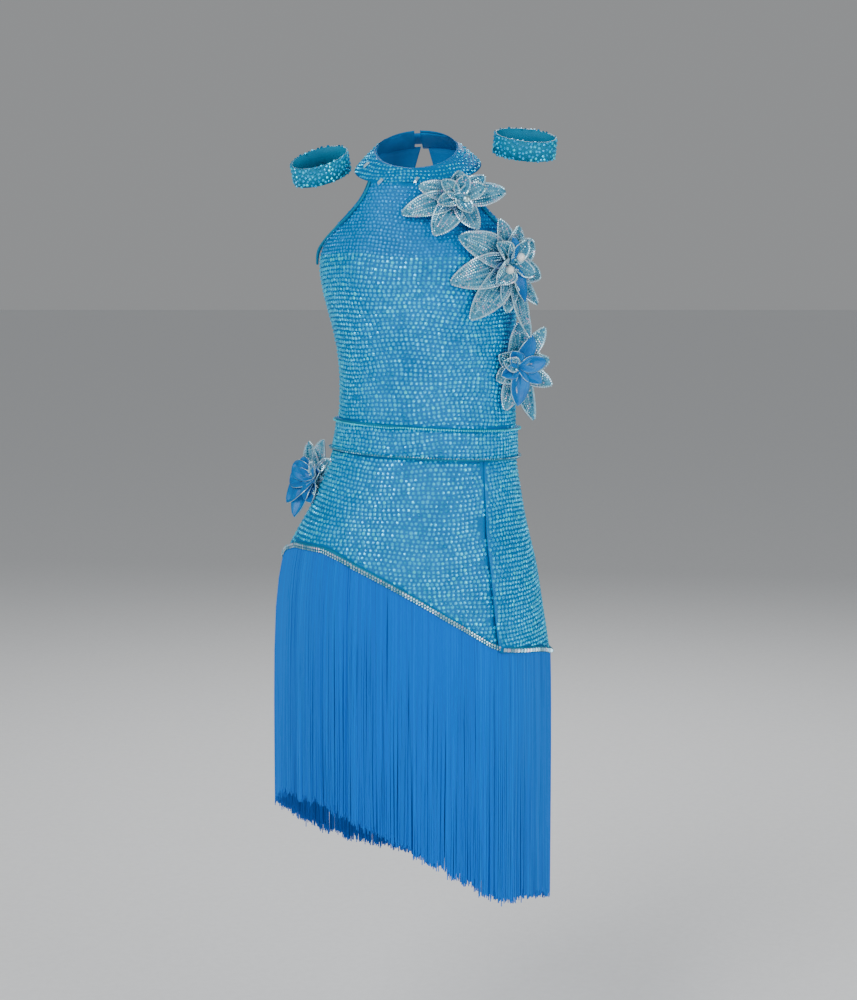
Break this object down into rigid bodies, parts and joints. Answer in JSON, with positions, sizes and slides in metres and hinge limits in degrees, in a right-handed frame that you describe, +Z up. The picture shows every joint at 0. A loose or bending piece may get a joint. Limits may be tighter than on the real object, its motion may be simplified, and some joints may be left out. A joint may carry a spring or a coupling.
{
  "type": "latin dance dress",
  "caption": "Sleeveless halter dance dress on a leotard base, with stoned cloth, belt, diagonal hem with swinging fringe, petal flowers and wrist cuffs.",
  "frame": {"origin": "centre of the wearer's waist, on the axis of the body, at the middle of the belt", "axes": "+X towards the wearer's left, +Y towards the back, +Z up"},
  "size_m": [0.3414, 0.2624, 0.9463],
  "materials": {
    "stoned_cloth": "cyan-blue stretch cloth covered with rows of small faceted stones",
    "plain_cloth": "matte azure stretch lining, tape and elastic",
    "fringe_yarn": "smooth azure chainette yarn",
    "crystal_trim": "foil-backed silver-blue cut stones",
    "petals": "stoned face over azure satin back",
    "pearl": "pearly coating",
    "cup_foam": "soft moulded foam with a knitted cover",
    "nickel": "bright nickel plate"
  },
  "bodies": {
    "dress": {"bodice_front": "stoned_cloth", "bodice_lining": "plain_cloth", "bodice_back_left": "stoned_cloth", "bodice_back_right": "stoned_cloth", "armhole_binding_left": "stoned_cloth", "armhole_binding_right": "stoned_cloth", "bust_cup_left": "cup_foam", "bust_cup_right": "cup_foam", "collar_band": "stoned_cloth", "collar_lining": "plain_cloth", "collar_stud": "nickel", "belt_band": "stoned_cloth", "waist_elastic": "plain_cloth", "belt_piping_upper": "crystal_trim", "belt_piping_lower": "crystal_trim", "belt_stud": "nickel", "zip_tape_left": "plain_cloth", "zip_tape_right": "plain_cloth", "zip_coil": "plain_cloth", "skirt_front": "stoned_cloth", "skirt_side_drape": "stoned_cloth", "skirt_back": "stoned_cloth", "hem_trim": "crystal_trim", "fringe_header": "plain_cloth", "brief_front": "plain_cloth", "brief_back": "plain_cloth", "gusset": "plain_cloth", "leg_elastic_left": "plain_cloth", "leg_elastic_right": "plain_cloth", "collar_flower_backing": "plain_cloth", "collar_flower_petals": "petals", "collar_flower_centre": "crystal_trim", "chest_flower_backing": "plain_cloth", "chest_flower_petals": "petals", "chest_flower_pearl_left": "pearl", "chest_flower_pearl_right": "pearl", "side_flower_backing": "plain_cloth", "side_flower_petals": "petals", "hip_flower_backing": "plain_cloth", "hip_flower_petals": "petals"},
    "zip_slider": {"zip_slider": "nickel"},
    "zip_pull": {"zip_pull": "nickel"},
    "collar_tab": {"collar_tab": "stoned_cloth", "collar_socket": "nickel"},
    "belt_tab": {"belt_tab": "stoned_cloth", "belt_socket": "nickel"},
    "cuff_left": {"wrist_cuff_left": "stoned_cloth"},
    "cuff_right": {"wrist_cuff_right": "stoned_cloth"},
    "fringe_01": {"fringe_01": "fringe_yarn"},
    "fringe_02": {"fringe_02": "fringe_yarn"},
    "fringe_03": {"fringe_03": "fringe_yarn"},
    "fringe_04": {"fringe_04": "fringe_yarn"},
    "fringe_05": {"fringe_05": "fringe_yarn"},
    "fringe_06": {"fringe_06": "fringe_yarn"},
    "fringe_07": {"fringe_07": "fringe_yarn"},
    "fringe_08": {"fringe_08": "fringe_yarn"},
    "fringe_09": {"fringe_09": "fringe_yarn"},
    "fringe_10": {"fringe_10": "fringe_yarn"},
    "fringe_11": {"fringe_11": "fringe_yarn"},
    "fringe_12": {"fringe_12": "fringe_yarn"}
  },
  "joints": [
    {"name": "zip_travel", "type": "slide", "parent": "dress", "child": "zip_slider", "axis": [0, -0.0445, -0.999], "range_m": [0, 0.115]},
    {"name": "zip_pull_swing", "type": "hinge", "parent": "zip_slider", "child": "zip_pull", "pos_m": [-0.003, 0.09501, 0.17013], "axis": [1, 0, 0], "range_deg": [0, 120]},
    {"name": "collar_tab_open", "type": "hinge", "parent": "dress", "child": "collar_tab", "pos_m": [0.00522, 0.062, 0.36199], "axis": [0.2475, 0.7757, -0.5805], "range_deg": [0, 70], "stiffness_Nm_per_rad": 0.002},
    {"name": "belt_tab_open", "type": "hinge", "parent": "dress", "child": "belt_tab", "pos_m": [0.01417, 0.08763, -0.00082], "axis": [-0.0838, 0.0495, -0.9953], "range_deg": [0, 75], "stiffness_Nm_per_rad": 0.002},
    {"name": "cuff_left_lift", "type": "slide", "parent": "dress", "child": "cuff_left", "axis": [0, 0, 1], "range_m": [0, 0.12]},
    {"name": "cuff_right_lift", "type": "slide", "parent": "dress", "child": "cuff_right", "axis": [0, 0, 1], "range_m": [0, 0.12]},
    {"name": "fringe_01_swing", "type": "hinge", "parent": "dress", "child": "fringe_01", "pos_m": [0.1153, -0.07223, -0.25349], "axis": [-0.6834, -0.7164, 0.1406], "range_deg": [0, 60]},
    {"name": "fringe_02_swing", "type": "hinge", "parent": "dress", "child": "fringe_02", "pos_m": [0.14571, -0.01054, -0.26404], "axis": [-0.123, -0.9796, 0.1587], "range_deg": [0, 60]},
    {"name": "fringe_03_swing", "type": "hinge", "parent": "dress", "child": "fringe_03", "pos_m": [0.13114, 0.0561, -0.26976], "axis": [0.5054, -0.8628, 0.0116], "range_deg": [0, 60]},
    {"name": "fringe_04_swing", "type": "hinge", "parent": "dress", "child": "fringe_04", "pos_m": [0.07611, 0.10824, -0.26897], "axis": [0.8739, -0.4852, -0.0299], "range_deg": [0, 60]},
    {"name": "fringe_05_swing", "type": "hinge", "parent": "dress", "child": "fringe_05", "pos_m": [-0.00391, 0.13102, -0.26067], "axis": [0.9847, -0.0613, -0.163], "range_deg": [0, 60]},
    {"name": "fringe_06_swing", "type": "hinge", "parent": "dress", "child": "fringe_06", "pos_m": [-0.08764, 0.11833, -0.23673], "axis": [0.8651, 0.3348, -0.3736], "range_deg": [0, 60]},
    {"name": "fringe_07_swing", "type": "hinge", "parent": "dress", "child": "fringe_07", "pos_m": [-0.14978, 0.07361, -0.19567], "axis": [0.4971, 0.6589, -0.5645], "range_deg": [0, 60]},
    {"name": "fringe_08_swing", "type": "hinge", "parent": "dress", "child": "fringe_08", "pos_m": [-0.17065, 0.0115, -0.15411], "axis": [-0.0358, 0.8724, -0.4875], "range_deg": [0, 60]},
    {"name": "fringe_09_swing", "type": "hinge", "parent": "dress", "child": "fringe_09", "pos_m": [-0.15132, -0.04763, -0.13378], "axis": [-0.5535, 0.8277, -0.0928], "range_deg": [0, 60]},
    {"name": "fringe_10_swing", "type": "hinge", "parent": "dress", "child": "fringe_10", "pos_m": [-0.10409, -0.09298, -0.14189], "axis": [-0.8018, 0.5114, 0.3091], "range_deg": [0, 60]},
    {"name": "fringe_11_swing", "type": "hinge", "parent": "dress", "child": "fringe_11", "pos_m": [-0.03432, -0.11713, -0.17497], "axis": [-0.8667, 0.1147, 0.4854], "range_deg": [0, 60]},
    {"name": "fringe_12_swing", "type": "hinge", "parent": "dress", "child": "fringe_12", "pos_m": [0.04746, -0.11099, -0.22275], "axis": [-0.8236, -0.2271, 0.5197], "range_deg": [0, 60]}
  ],
  "couplings": [
    {"joint": "fringe_10_swing", "follows": "fringe_11_swing", "ratio": 1},
    {"joint": "fringe_12_swing", "follows": "fringe_11_swing", "ratio": 1},
    {"joint": "fringe_02_swing", "follows": "fringe_01_swing", "ratio": 1},
    {"joint": "fringe_03_swing", "follows": "fringe_04_swing", "ratio": 1},
    {"joint": "fringe_05_swing", "follows": "fringe_04_swing", "ratio": 1},
    {"joint": "fringe_06_swing", "follows": "fringe_04_swing", "ratio": 1},
    {"joint": "fringe_07_swing", "follows": "fringe_08_swing", "ratio": 1},
    {"joint": "fringe_09_swing", "follows": "fringe_08_swing", "ratio": 1}
  ]
}
